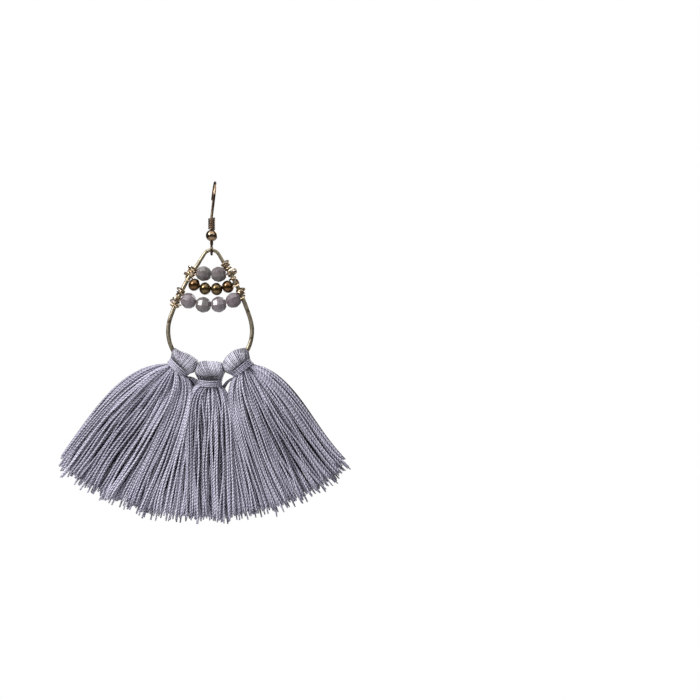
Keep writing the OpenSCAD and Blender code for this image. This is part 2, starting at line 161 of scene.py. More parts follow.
def node(tree, kind, x, y, links=None, **values):
    """Adds a node: values set its sockets by name, and links join named sockets to other nodes' outputs."""
    made = tree.nodes.new("ShaderNode" + kind)
    made.location = (x, y)
    for key, value in values.items():
        if hasattr(made, key):
            setattr(made, key, value)
        else:
            made.inputs[key.replace("_", " ")].default_value = value
    for key, source in (links or {}).items():
        tree.links.new(source, made.inputs[key])
    return made


def between(tree, x, y, share, first, second):
    """Mixes two colours by a share."""
    mix = node(tree, "Mix", x, y, {0: share}, data_type="RGBA")
    mix.inputs[6].default_value, mix.inputs[7].default_value = (*first, 1), (*second, 1)
    return mix


def join_shader(tree, shader, colour, gloss, bump):
    tree.links.new(colour.outputs[2], shader.inputs["Base Color"])
    tree.links.new(gloss.outputs["Result"], shader.inputs["Roughness"])
    tree.links.new(bump.outputs["Normal"], shader.inputs["Normal"])


# Tarnish: dark and uneven over the metal in patches, with fine scratches and small dents.
tarnish, entry, out = new_group(
    "tarnish", [("Vector", "Vector", None), ("Patch Size", "Float", 1.5), ("Contrast", "Float", 0.5)],
    [("Bright", "Float"), ("Dents", "Float"), ("Scratches", "Float")])
per_mm = node(tarnish, "Math", -700, 200, {1: entry.outputs["Patch Size"]}, operation="DIVIDE")
per_mm.inputs[0].default_value = 1000
patches = node(tarnish, "TexNoise", -450, 260,
               {"Vector": entry.outputs["Vector"], "Scale": per_mm.outputs[0]},
               Detail=5.0, Roughness=0.65, Distortion=0.4)
low = node(tarnish, "Math", -450, 60, {1: entry.outputs["Contrast"]}, operation="MULTIPLY_ADD")
low.inputs[0].default_value, low.inputs[2].default_value = -0.2, 0.5
high = node(tarnish, "Math", -450, -100, {1: entry.outputs["Contrast"]}, operation="MULTIPLY_ADD")
high.inputs[0].default_value, high.inputs[2].default_value = -0.22, 0.72
bright = node(tarnish, "MapRange", -150, 200, {"Value": patches.outputs["Fac"], "From Min": low.outputs[0],
                                              "From Max": high.outputs[0]}, interpolation_type="SMOOTHSTEP")
dents = node(tarnish, "TexNoise", -450, -300, {"Vector": entry.outputs["Vector"]}, Scale=1900.0, Detail=2.0)
lines = node(tarnish, "TexNoise", -450, -500, {"Vector": entry.outputs["Vector"]}, Scale=7000.0, Detail=3.0,
             Roughness=0.7)
tarnish.links.new(bright.outputs["Result"], out.inputs["Bright"])
tarnish.links.new(dents.outputs["Fac"], out.inputs["Dents"])
tarnish.links.new(lines.outputs["Fac"], out.inputs["Scratches"])


def worn_metal(name, dark, light, smooth, rough, patch, contrast, dent_depth, wear_and_painted_light=None):
    """An antiqued metal: dark tarnish under worn bright patches, rougher where it is dark. The last argument,
    when given, has pairs of a height in millimetres and how bright the metal is there: tarnish worn off, and
    in the ear wire also a painted highlight and painted shade."""
    metal, tree, shader = new_material(name)
    shader.inputs["Metallic"].default_value = 1.0
    place = node(tree, "TexCoord", -900, 0)
    wear = node(tree, "Group", -700, 0, {"Vector": place.outputs["Object"]}, node_tree=tarnish,
                Patch_Size=patch, Contrast=contrast)
    bright = wear.outputs["Bright"]
    if wear_and_painted_light:
        lowest, highest = wear_and_painted_light[0][0] / 1000, wear_and_painted_light[-1][0] / 1000
        height = node(tree, "SeparateXYZ", -900, 350, {0: place.outputs["Object"]})
        share = node(tree, "MapRange", -740, 350, {"Value": height.outputs["Z"]}, From_Min=lowest,
                     From_Max=highest)
        ramp = node(tree, "ValToRGB", -600, 350, {0: share.outputs["Result"]})
        stops = ramp.color_ramp.elements
        for z, _ in wear_and_painted_light[1:-1]:
            stops.new((z / 1000 - lowest) / (highest - lowest))
        for stop, (_, amount) in zip(stops, wear_and_painted_light):
            stop.color = (amount, amount, amount, 1)
        wear_and_light_bright = node(tree, "Math", -560, 120, {0: bright, 1: ramp.outputs[0]}, operation="MULTIPLY")
        bright = wear_and_light_bright.outputs[0]
    colour = between(tree, -400, 200, bright, dark, light)
    gloss = node(tree, "MapRange", -400, -50, {"Value": bright}, To_Min=rough, To_Max=smooth)
    height = node(tree, "Math", -400, -300, {0: wear.outputs["Scratches"], 2: wear.outputs["Dents"]},
                  operation="MULTIPLY_ADD")
    height.inputs[1].default_value = 0.15
    bump = node(tree, "Bump", -180, -300, {"Height": height.outputs[0]}, Strength=0.8,
                Distance=dent_depth / 1000)
    join_shader(tree, shader, colour, gloss, bump)
    return metal


# How bright the ear wire is by height: partly polish where it is touched, and partly painted light, a painted
# highlight on the upper part of the eye and painted shade on the top of the bend.
WEAR_AND_PAINTED_LIGHT = [(-17.9, 0.05), (-17.2, 0.9), (-16.5, 1), (-15.8, 0.5), (-12.7, 0.6), (-12.3, 0.45),
          (-9.3, 0.45), (-8.9, 1), (-8.3, 0.8), (-7.6, 0.5), (-6.4, 0.2), (-3.3, 0.15), (-2.6, 1),
          (-0.5, 1), (-0.1, 0.05), (0.7, 0)]
antique_copper = worn_metal("antique_copper", (0.045, 0.028, 0.021), (0.42, 0.30, 0.20), smooth=0.26,
                            rough=0.40, patch=5.0, contrast=0.6, dent_depth=0.003, wear_and_painted_light=WEAR_AND_PAINTED_LIGHT)
ear_wire.data.materials.append(antique_copper)
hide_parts("ear_hook")
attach(ear_wire, "hook")

# The coil: thinner wire of the same metal, wound tightly round the foot of the front leg, above the ball.
# Its turns press on each other and are a little uneven, and its two ends are cut flush.
COIL_WIRE, COIL_TURNS, COIL_R, COIL_PITCH, COIL_STEPS = 0.52, 6, 0.66, 0.47, 28
COIL_TOP = HOOK_WIRE / 2 - HOOK_DROP
coil_path = []
for i in range(COIL_TURNS * COIL_STEPS + 1):
    turn = i / COIL_STEPS
    along = COIL_WIRE / 2 + COIL_PITCH * turn + 0.015 * sin(5.1 * turn)
    a = 2 * pi * turn
    coil_path.append((EYE.x + COIL_R * cos(a), EYE.y + COIL_R * sin(a), COIL_TOP - along))
coil = wire_along("stem_coil", coil_path, COIL_WIRE, fine=3)
coil.data.materials.append(antique_copper)
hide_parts("hook_coil")
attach(coil, "hook")

# The ball: a drilled round bead of the same metal, polished brighter than the wire, threaded on the stem
# under the coil. Its bore is a little wider than the stem.
BALL, BALL_BORE = 3.0, 0.9


def select_where(piece, wanted):
    """Selects the points of a piece in edit mode by their places."""
    bpy.ops.mesh.select_all(action="DESELECT")
    bpy.ops.object.mode_set(mode="OBJECT")
    for v in piece.data.vertices:
        v.select = wanted(v.co)
    bpy.ops.object.mode_set(mode="EDIT")


def drilled_ball(name, size, bore, segments=40, rings=24, levels=None):
    """A ball about its own middle with a bore along Z. levels are shares (height, radius) for each ring of
    points, where the ball is cut with facets instead of round."""
    bpy.ops.object.select_all(action="DESELECT")
    bpy.ops.mesh.primitive_uv_sphere_add(segments=segments, ring_count=rings, radius=size / 2000,
                                         location=(0, 0, 0))
    ball = bpy.context.object
    ball.name = ball.data.name = name
    hole = bore / 2000
    if levels:
        ringed = [v for v in ball.data.vertices if v.co.xy.length > 1e-7]
        heights = sorted({round(v.co.z, 7) for v in ringed})
        for v in ringed:
            height, wide = levels[heights.index(round(v.co.z, 7))]
            v.co.xy = v.co.xy.normalized() * wide * size / 2000
            v.co.z = height * size / 2000
    bpy.ops.object.mode_set(mode="EDIT")
    select_where(ball, lambda p: p.xy.length < hole * 0.9)
    bpy.ops.mesh.delete(type="VERT")
    for end in (1, -1):
        bpy.ops.object.mode_set(mode="OBJECT")
        rim = max(v.co.z * end for v in ball.data.vertices)
        wide = max(v.co.xy.length for v in ball.data.vertices if v.co.z * end > rim - 1e-6)
        bpy.ops.object.mode_set(mode="EDIT")
        select_where(ball, lambda p: p.z * end > rim - 1e-6)
        bpy.ops.mesh.select_mode(type="EDGE")
        bpy.ops.mesh.extrude_edges_move()
        bpy.ops.transform.resize(value=(hole / wide, hole / wide, 1), center_override=(0, 0, rim * end))
        bpy.ops.mesh.select_mode(type="VERT")
    select_where(ball, lambda p: p.xy.length < hole * 1.02)
    bpy.ops.mesh.bridge_edge_loops()
    bpy.ops.object.mode_set(mode="OBJECT")
    return ball


def put(piece, middle, turns):
    """Places a finished piece: its middle in metres and its turns, as matrices, go into its mesh."""
    for turn in turns:
        piece.data.transform(turn)
    piece.data.transform(Matrix.Translation(middle))


def middle_of(cad_node):
    low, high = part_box(cad_node)
    return (low + high) / 2


hook_ball = drilled_ball("stem_ball", BALL, BALL_BORE)
close_and_smooth(hook_ball, 50)
put(hook_ball, middle_of("hook_ball"), [])
ball_copper = worn_metal("ball_copper", (0.13, 0.085, 0.055), (0.36, 0.255, 0.165), smooth=0.14,
                         rough=0.26, patch=2.2, contrast=0.9, dent_depth=0.006)
hook_ball.data.materials.append(ball_copper)
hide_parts("hook_ball")
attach(hook_ball, "hook")

# The hoop: a teardrop bent from one length of brass wire, hammered flat on both faces and antiqued, thinner
# and a little pinched at its top. It hangs in the eye and leans a little to the left, and its round bottom is
# buried in the tassels' heads.
HOOP_W, HOOP_T, HOOP_R, LEG_R, APEX_R = 1.1, 0.9, 10.75, 64, 2.2
LEG_START, DROP_LEAN = radians(19), radians(1.1)
PINCH, PINCH_TALL = 0.055, 7
BELOW_TOP, THIN_SHARE = [0, 2, 9], [0.82, 0.84, 1]
leg_x, leg_z = (LEG_R - HOOP_R) * cos(LEG_START), -(LEG_R - HOOP_R) * sin(LEG_START)
leg_end = acos(leg_x / (LEG_R - APEX_R))
apex_z = leg_z + (LEG_R - APEX_R) * sin(leg_end)
HOOP_TOP = apex_z + APEX_R


def hung(x, y, z):
    """A point of the hanging drop in millimetres, from the middle of the hoop's wire in the eye."""
    return EYE + Vector((x * cos(DROP_LEAN) + z * sin(DROP_LEAN), y, z * cos(DROP_LEAN) - x * sin(DROP_LEAN)))


hoop_path, hoop_widths = [], []
for centre_x, centre_z, r, first, last, steps in (
        (0, 0, HOOP_R, pi - LEG_START, 2 * pi + LEG_START, 70),
        (-leg_x, leg_z, LEG_R, LEG_START, leg_end, 40),
        (0, apex_z, APEX_R, leg_end, pi - leg_end, 24),
        (leg_x, leg_z, LEG_R, pi - leg_end, pi - LEG_START, 40)):
    for i in range(steps):
        a = first + (last - first) * i / steps
        x, z = centre_x + r * cos(a), centre_z + r * sin(a) - HOOP_TOP
        pinch = 1 - PINCH * sin(pi * -z / PINCH_TALL) ** 2 if z > -PINCH_TALL else 1
        hoop_path.append(hung(x * pinch, 0, z))
        hoop_widths.append(float(np.interp(-z, BELOW_TOP, THIN_SHARE)))
hoop = wire_along("hoop_wire", hoop_path, HOOP_W, hoop_widths, closed=True, fine=6)
select_only(hoop)
bpy.ops.object.mode_set(mode="EDIT")
bpy.ops.mesh.select_all(action="SELECT")
bpy.ops.transform.resize(value=(1, HOOP_T / HOOP_W, 1), center_override=tuple(EYE / 1000))
bpy.ops.object.mode_set(mode="OBJECT")
hammer = bpy.data.textures.new("hammer_marks", "CLOUDS")
hammer.noise_scale, hammer.noise_depth = 0.0013, 1
marks = hoop.modifiers.new("hammered", "DISPLACE")
marks.texture, marks.texture_coords, marks.strength, marks.mid_level = hammer, "LOCAL", 0.00009, 0.5
bpy.ops.object.modifier_apply(modifier="hammered")
antique_brass = worn_metal("antique_brass", (0.085, 0.068, 0.042), (0.37, 0.32, 0.23), smooth=0.42,
                           rough=0.55, patch=1.2, contrast=1.0, dent_depth=0.03)
hoop.data.materials.append(antique_brass)
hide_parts("hoop")
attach(hoop, "drop")

# The cut beads: smoky grey stone beads with satin facets whose edges are worn soft, drilled through. Two hang
# in the top row and four in the low row, each turned so that its facets catch the light in its own way.
CUT_BEAD, CUT_BORE, CUT_EDGE = 4.09, 0.8, 0.05
CUTS = [(-0.93, 0.44), (-0.63, 0.80), (-0.13, 1), (0.13, 1), (0.63, 0.80), (0.93, 0.44)]
# How far the beads of all rows tilt along their sagging wires, and how far they sit off their solids.
TILT = {"bead_top_1": 9.2, "bead_top_2": -6.8,
        "bead_mid_1": 25.5, "bead_mid_2": 9.5, "bead_mid_3": -6.5, "bead_mid_4": -22.5,
        "bead_low_1": 22.5, "bead_low_2": 6.5, "bead_low_3": -9.5, "bead_low_4": -25.5}
MOVED = {"bead_top_1": (0, -0.18), "bead_top_2": (0, -0.20), "bead_mid_1": (0, 0.12),
         "bead_mid_2": (0, 0.08), "bead_mid_3": (0, 0.08), "bead_low_2": (0.06, 0),
         "bead_low_3": (0.16, 0.05), "bead_low_4": (0.26, 0.04)}


def bead_middle(cad):
    """A bead's middle in metres."""
    across, up = MOVED.get(cad, (0, 0))
    return middle_of(cad) + Vector((across, 0, up)) / 1000


def lean(turn):
    return Matrix.Rotation(radians(turn) + DROP_LEAN, 4, "Y")


def copy_bead(master, kind, cad, material):
    """A copy of the master bead, with its own mesh, named after the CAD's bead."""
    bead = bpy.data.objects.new(cad.replace("bead", kind), master.data.copy())
    bpy.context.scene.collection.objects.link(bead)
    bead.data.materials.append(material)
    return bead


def two_noises(name, **noises):
    """A shader node group that puts out two noises, each named after the output and given by its values."""
    group, entry, out = new_group(name, [("Vector", "Vector", None)], [(label, "Float") for label in noises])
    for y, (label, values) in zip((100, -150), noises.items()):
        noise = node(group, "TexNoise", -500, y, {"Vector": entry.outputs["Vector"]}, **values)
        group.links.new(noise.outputs["Fac"], out.inputs[label])
    return group


stone_mottle = two_noises("stone_mottle",
                          Clouds=dict(Scale=620.0, Detail=4.0, Roughness=0.6, Distortion=0.8),
                          Specks=dict(Scale=5200.0, Detail=3.0, Roughness=0.7))


def cut_stone(name, plum, grey):
    """Satin grey stone: two clouded greys, fine specks and a thin soft polish on the facets."""
    stone, tree, shader = new_material(name)
    shader.inputs["IOR"].default_value = 1.62
    place = node(tree, "TexCoord", -900, 0)
    mottle = node(tree, "Group", -700, 0, {"Vector": place.outputs["Object"]}, node_tree=stone_mottle)
    spread = node(tree, "MapRange", -480, 150, {"Value": mottle.outputs["Clouds"]}, From_Min=0.36,
                  From_Max=0.64)
    colour = between(tree, -260, 200, spread.outputs["Result"], plum, grey)
    gloss = node(tree, "MapRange", -260, -60, {"Value": mottle.outputs["Specks"]}, To_Min=0.16, To_Max=0.30)
    bump = node(tree, "Bump", -260, -300, {"Height": mottle.outputs["Specks"]}, Strength=0.25,
                Distance=0.00002)
    join_shader(tree, shader, colour, gloss, bump)
    return stone


plum_stone = cut_stone("plum_stone", (0.14, 0.108, 0.125), (0.185, 0.16, 0.172))
grey_stone = cut_stone("grey_stone", (0.135, 0.108, 0.115), (0.155, 0.15, 0.138))
cut_master = drilled_ball("cut_bead", CUT_BEAD, CUT_BORE, 8, 7, CUTS)
close_and_smooth(cut_master, 1)
soften = cut_master.modifiers.new("worn_edges", "BEVEL")
soften.width, soften.segments = CUT_EDGE / 1000, 2
soften.limit_method, soften.angle_limit = "ANGLE", radians(12)
select_only(cut_master)
bpy.ops.object.modifier_apply(modifier="worn_edges")
bpy.ops.object.shade_smooth_by_angle(angle=radians(14))
on_wire = Matrix.Rotation(radians(90), 4, "Y")
for cad, spin, stone in (("bead_top_1", 25, grey_stone), ("bead_top_2", 19.5, grey_stone),
                         ("bead_low_1", 2, plum_stone), ("bead_low_2", 9, grey_stone),
                         ("bead_low_3", 3, plum_stone), ("bead_low_4", 28, plum_stone)):
    bead = copy_bead(cut_master, "cut_bead", cad, stone)
    put(bead, bead_middle(cad), [on_wire, Matrix.Rotation(radians(spin), 4, "X"), lean(TILT[cad])])
    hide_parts(cad)
    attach(bead, "drop")
bpy.data.objects.remove(cut_master)

# The round beads: four small glossy glass beads with a bronze lustre, in a row between the cut ones. They
# are a little wider than they are long. The outer two are redder and the inner two a greener gold.
ROUND_BEAD, ROUND_BORE, ROUND_WIDE = 3.0, 0.7, 1.08
lustre = two_noises("lustre", Bands=dict(Scale=900.0, Detail=3.0, Distortion=1.2),
                    Pits=dict(Scale=6500.0, Detail=2.0))


def bronze_lustre(name, deep, gold):
    """A bronze lustre fired on glass: deep brown and gold in uneven bands under a clear gloss."""
    bronze, tree, shader = new_material(name)
    shader.inputs["Metallic"].default_value = 0.92
    shader.inputs["Coat Weight"].default_value = 0.5
    shader.inputs["Coat Roughness"].default_value = 0.06
    place = node(tree, "TexCoord", -900, 0)
    shine = node(tree, "Group", -700, 0, {"Vector": place.outputs["Object"]}, node_tree=lustre)
    colour = between(tree, -300, 200, shine.outputs["Bands"], deep, gold)
    gloss = node(tree, "MapRange", -300, -60, {"Value": shine.outputs["Pits"]}, To_Min=0.16, To_Max=0.30)
    bump = node(tree, "Bump", -300, -300, {"Height": shine.outputs["Pits"]}, Strength=0.2, Distance=0.00001)
    join_shader(tree, shader, colour, gloss, bump)
    return bronze


red_bronze = bronze_lustre("red_bronze", (0.028, 0.013, 0.003), (0.20, 0.098, 0.024))
gold_bronze = bronze_lustre("gold_bronze", (0.034, 0.021, 0.007), (0.23, 0.150, 0.055))
round_master = drilled_ball("round_bead", ROUND_BEAD, ROUND_BORE)
round_master.data.transform(Matrix.Diagonal((ROUND_WIDE, ROUND_WIDE, 1, 1)))
close_and_smooth(round_master, 50)
for cad, bronze in (("bead_mid_1", red_bronze), ("bead_mid_2", gold_bronze),
                    ("bead_mid_3", gold_bronze), ("bead_mid_4", red_bronze)):
    bead = copy_bead(round_master, "round_bead", cad, bronze)
    put(bead, bead_middle(cad), [on_wire, lean(TILT[cad])])
    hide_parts(cad)
    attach(bead, "drop")
bpy.data.objects.remove(round_master)

# The row wires: thin antiqued brass wire, one length for each row. It is threaded through the row's beads and
# wound by hand round the hoop's two legs, with uneven turns that pile up, loops that stand out and cut ends.
ROW_WIRE, OFF_LEG, TURN_STEPS, UNEVEN = 0.38, 0.74, 10, 0.04
hand = random.Random(11)


def round_leg(side, level, way, out_by):
    """A point near a leg of the hoop: level is its height in the drop, way its side of the leg in degrees,
    with 0 at the inside and 90 at the back, and out_by its distance from the middle of the leg."""
    turn = asin((level + HOOP_TOP - leg_z) / LEG_R)
    middle = Vector((side * (LEG_R * cos(turn) - leg_x), 0, level))
    inward = Vector((-side * cos(turn), 0, -sin(turn)))
    p = middle + out_by * (cos(radians(way)) * inward + Vector((0, sin(radians(way)), 0)))
    return hung(*p)


def wound(side, turns, end_way):
    """Hand-wound turns round a leg. turns are (level, how far its loop stands out, the way it stands)."""
    points = []
    for (level, loop, loop_way), following in zip(turns, turns[1:] + [turns[-1]]):
        for i in range(TURN_STEPS):
            way = -360 / TURN_STEPS * i
            near = OFF_LEG + loop * max(0, cos(radians(way - loop_way))) ** 2 + hand.uniform(0, 0.10)
            tilt = 0.12 * sin(radians(way + loop_way)) * (1 + 3 * loop)
            onward = (following[0] - level) * (i / TURN_STEPS) ** 2
            here = level + onward + tilt + hand.uniform(-UNEVEN, UNEVEN)
            points.append(round_leg(side, here, way, near))
    level = turns[-1][0]
    cut_end = [round_leg(side, level + 0.1, end_way + 25, 0.85), round_leg(side, level + 0.2, end_way, 1.35)]
    return points + cut_end


def smoothed(points, passes=2):
    """Rounds the corners of a hand-bent path."""
    for _ in range(passes):
        cut = [points[0]]
        for a, b in zip(points, points[1:]):
            cut += [a.lerp(b, 0.25), a.lerp(b, 0.75)]
        points = cut + [points[-1]]
    return points


def through(cads, reach):
    """The wire's way through a row: into and out of every bead along its bore, at reach from its middle."""
    points = []
    for cad in cads:
        step = lean(TILT[cad]) @ Vector((reach, 0, 0))
        middle = bead_middle(cad) * 1000
        points += [middle - step, middle + step]
    return points


wire_brass = worn_metal("wire_brass", (0.14, 0.085, 0.045), (0.78, 0.62, 0.43), smooth=0.2, rough=0.38,
                        patch=0.7, contrast=0.6, dent_depth=0.01)
for name, beads, reach, left, right in (
        ("top", 2, 1.9,
         ([(-6.1, 0.2, 0), (-5.7, 0.5, 150), (-5.2, 0.9, 200), (-5.5, 0.35, 120), (-5.0, 0.6, 170)], 150),
         ([(-5.6, 0.5, 20), (-4.8, 0.3, 160), (-4.1, 0.2, 180), (-3.7, 0.4, 30), (-3.4, 0.5, 200)], 30)),
        ("mid", 4, 1.45,
         ([(-7.6, 0.3, 0), (-6.9, 0.9, 190), (-6.5, 0.3, 200), (-6.8, 1.0, 150), (-6.1, 0.5, 210)], 200),
         ([(-8.6, 0.9, 0), (-8.2, 0.9, 20), (-7.2, 0.25, 90), (-6.3, 0.9, 180), (-5.7, 1.1, 190),
           (-6.1, 0.4, 150)], 170)),
        ("low", 4, 1.9,
         ([(-12.1, 0.2, 0), (-11.4, 0.3, 160), (-10.4, 0.6, 190), (-11.0, 0.25, 90), (-12.8, 0.5, 180),
           (-13.4, 0.9, 170), (-14.1, 0.4, 200), (-13.7, 0.7, 0), (-14.6, 0.35, 180)], 200),
         ([(-12.0, 0.2, 0), (-11.3, 0.35, 170), (-10.6, 0.5, 190), (-10.2, 0.8, 180),
           (-10.7, 0.3, 90)], 160))):
    cads = ["bead_%s_%d" % (name, k + 1) for k in range(beads)]
    row = smoothed(wound(-1, *left)[::-1] + through(cads, reach) + wound(1, *right))
    row_wire = wire_along("row_wire_" + name, row, ROW_WIRE, fine=1)
    row_wire.data.materials.append(wire_brass)
    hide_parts("wire_" + name)
    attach(row_wire, "drop")

# The tassels' threads: lavender grey two-ply thread, twisted, with a silky shine. Each tassel is a bundle of
# it laid over the bottom of the hoop and bound below it. Every thread is its own closed tube of a few sides,
# with its twist drawn along a map of its length, and a tone of its own.
THREAD, HEAD_THREAD, BIND_THREAD = 0.54, 0.55, 0.45
HEAD_LEN, HEAD_GAP, HEAD_TALL, HEAD_DEEP, HEAD_IN = 7.4, 0.2, 4.8, 6.0, 0.5
NECK_D, NECK_OUT, BIND_TURNS = 5.7, 2, 4
MID_TURN, HEAD_STEP, THREAD_UNEVEN = radians(1), (HEAD_LEN + HEAD_GAP) / HOOP_R, 0.13
BIND_TALL = BIND_THREAD * 0.9 * (BIND_TURNS - 1) + BIND_THREAD
# Each tassel's turn round the hoop's bottom, how far out its neck is, how far its head's two ends reach, how
# its threads slant, how much the painted shade on the head's top is lifted or deepened, how its binding
# droops in front, how much the painted shade in its skirt is lifted (lighter in the left skirt, darker in the
# right), and the head's size at places from its left end (-1) to its right end (1).
TASSELS = {
    "left": dict(
        turn=MID_TURN - HEAD_STEP, neck=0.93, reach=(1.1, 1), slant=0.1, top_shade_lift=-0.1, droop=0.1, skirt_shade_lift=0.3,
        sizes=((-1, 0.24), (-0.8, 0.38), (-0.6, 0.53), (-0.3, 0.75), (0, 0.87), (0.4, 0.91), (0.75, 0.85),
               (1, 0.66))),
    "mid": dict(
        turn=MID_TURN, neck=1.2, reach=(1, 1), slant=0.42, top_shade_lift=0.2, droop=0.45, skirt_shade_lift=0,
        sizes=((-1, 0.66), (-0.75, 0.85), (-0.37, 0.94), (0, 0.95), (0.4, 0.92), (0.75, 0.82), (1, 0.62))),
    "right": dict(
        turn=MID_TURN + HEAD_STEP, neck=0.93, reach=(1, 1.13), slant=-0.1, top_shade_lift=-0.1, droop=0.1, skirt_shade_lift=-0.4,
        sizes=((-1, 0.57), (-0.75, 0.77), (-0.4, 0.95), (0, 1.01), (0.35, 0.95), (0.65, 0.76), (0.88, 0.48),
               (1, 0.28))),
}
chance = np.random.default_rng(5)


def unit(vectors):
    return vectors / np.linalg.norm(vectors, axis=-1, keepdims=True)


def threads(name, paths, outward, thickness, sides=6, pressed=((0,), (1,)), shade_lift=((0,), (0,))):
    """Closed tubes along many paths at once, as one piece. paths are in millimetres in the drop's frame, all
    with as many points, and outward is the way that looks out of the bundle at each point. The map twist has
    the share round the thread and the length along it. The attribute tone is each thread's own. The
    painted-shade attribute is 1 on the outer side and -1 on the inner side, as painted shade of the bundle,
    and is lifted towards light or pushed deeper into shade along the thread by the last argument. pressed has
    shares of the thickness and the last argument how far the painted shade is lifted, both as points' numbers
    and the values there."""
    n, m = paths.shape[:2]
    along = unit(np.gradient(paths, axis=1))
    normals = [unit(np.cross(along[:, 0], np.array([0.31, 0.87, 0.38])))]
    for k in range(1, m):
        last = normals[-1]
        normals.append(unit(last - (last * along[:, k]).sum(1, keepdims=True) * along[:, k]))
    normal = np.stack(normals, 1)
    side = np.cross(along, normal)
    a = 2 * pi * np.arange(sides) / sides
    fat = thickness / 2 * (1 + chance.uniform(-THREAD_UNEVEN, THREAD_UNEVEN, (n, 1, 1, 1)))
    fat = fat * np.interp(np.arange(m), *pressed)[None, :, None, None]
    turned_out = (np.cos(a)[None, None, :, None] * normal[:, :, None]
                  + np.sin(a)[None, None, :, None] * side[:, :, None])
    points = (paths[:, :, None] + fat * turned_out).reshape(-1, 3)
    looks = (turned_out * outward[:, :, None]).sum(-1)
    painted_lighting_values = looks + (1 - looks) * np.interp(np.arange(m), *shade_lift)[None, :, None]
    length = np.cumsum(np.linalg.norm(np.diff(paths, axis=1), axis=2), 1)
    length = np.concatenate([np.zeros((n, 1)), length], 1) + chance.uniform(0, 5, (n, 1))
    tones = np.repeat(chance.uniform(0, 1, n), m * sides)

    i, k, j = np.meshgrid(np.arange(n), np.arange(m - 1), np.arange(sides), indexing="ij")
    here, after = (i * m + k) * sides, (j + 1) % sides
    quads = np.stack([here + j, here + after, here + sides + after, here + sides + j], -1).reshape(-1, 4)
    u0, u1 = j / sides, (j + 1) / sides
    v0, v1 = length[i, k], length[i, k + 1]
    uvs = np.stack([u0, v0, u1, v0, u1, v1, u0, v1], -1).reshape(-1, 2)
    starts, ring = (np.arange(n) * m * sides)[:, None], np.arange(sides)
    caps = np.stack([starts + ring[::-1], starts + (m - 1) * sides + ring], 1).reshape(-1, sides)

    turned = np.empty_like(points)
    turned[:, 0] = EYE.x + points[:, 0] * cos(DROP_LEAN) + points[:, 2] * sin(DROP_LEAN)
    turned[:, 1] = EYE.y + points[:, 1]
    turned[:, 2] = EYE.z + points[:, 2] * cos(DROP_LEAN) - points[:, 0] * sin(DROP_LEAN)
    mesh = bpy.data.meshes.new(name)
    mesh.vertices.add(len(points))
    mesh.vertices.foreach_set("co", (turned / 1000).astype(np.float32).ravel())
    corners = np.concatenate([quads.ravel(), caps.ravel()]).astype(np.int32)
    mesh.loops.add(len(corners))
    mesh.loops.foreach_set("vertex_index", corners)
    sizes = np.concatenate([np.full(len(quads), 4), np.full(len(caps), sides)])
    mesh.polygons.add(len(sizes))
    mesh.polygons.foreach_set("loop_start", np.concatenate([[0], np.cumsum(sizes)[:-1]]).astype(np.int32))
    mesh.update(calc_edges=True)
    flat = np.zeros((len(corners), 2))
    flat[:len(uvs)] = uvs
    mesh.uv_layers.new(name="twist").data.foreach_set("uv", flat.astype(np.float32).ravel())
    for label, values in (("tone", tones), ("painted_lighting", painted_lighting_values.ravel())):
        mesh.attributes.new(label, "FLOAT", "POINT").data.foreach_set("value", values.astype(np.float32))
    mesh.polygons.foreach_set("use_smooth", sizes == 4)
    mesh.validate()
    piece = bpy.data.objects.new(name, mesh)
    bpy.context.scene.collection.objects.link(piece)
    return piece


def down(turn, r):
    """Points in the hoop's plane, by their turn from straight down and their distance from the middle of its
    round bottom."""
    turn, r = np.broadcast_arrays(turn, r)
    return np.stack([r * np.sin(turn), np.zeros_like(r), -r * np.cos(turn) - HOOP_TOP], -1)


def neck_of(tassel, further=0):
    """The middle of a tassel's neck, or a point further down, and the way across it."""
    turn = tassel["turn"]
    return down(turn, HOOP_R + NECK_OUT * tassel["neck"] + further), np.array([cos(turn), 0, sin(turn)])


# The twist of the two plies: rounded ridges that run round the thread, with grooves between them. The ridges
# give the bump, and the thread materials paint shade into the grooves.
ply_twist, entry, out = new_group("ply_twist", [("Map", "Vector", None), ("Pitch", "Float", 1.7)],
                                  [("Ridge", "Float"), ("Fuzz", "Float")])
parts = node(ply_twist, "SeparateXYZ", -700, 0, {0: entry.outputs["Map"]})
runs = node(ply_twist, "Math", -500, 100, {0: parts.outputs["Y"], 1: entry.outputs["Pitch"]},
            operation="DIVIDE")
spiral = node(ply_twist, "Math", -340, 60, {0: runs.outputs[0], 1: parts.outputs["X"]},
              operation="SUBTRACT")
angle = node(ply_twist, "Math", -180, 60, {0: spiral.outputs[0]}, operation="MULTIPLY")
angle.inputs[1].default_value = 2 * pi
wave = node(ply_twist, "Math", -20, 60, {0: angle.outputs[0]}, operation="SINE")
ridge = node(ply_twist, "Math", 140, 60, {0: wave.outputs[0], 1: wave.outputs[0]}, operation="MULTIPLY")
stretch = node(ply_twist, "VectorMath", -500, -200, {0: entry.outputs["Map"]}, operation="MULTIPLY")
stretch.inputs[1].default_value = (5, 3, 1)
fuzz = node(ply_twist, "TexNoise", -300, -200, {"Vector": stretch.outputs[0]}, Scale=1.6, Detail=3.0)
ply_twist.links.new(ridge.outputs[0], out.inputs["Ridge"])
ply_twist.links.new(fuzz.outputs["Fac"], out.inputs["Fuzz"])


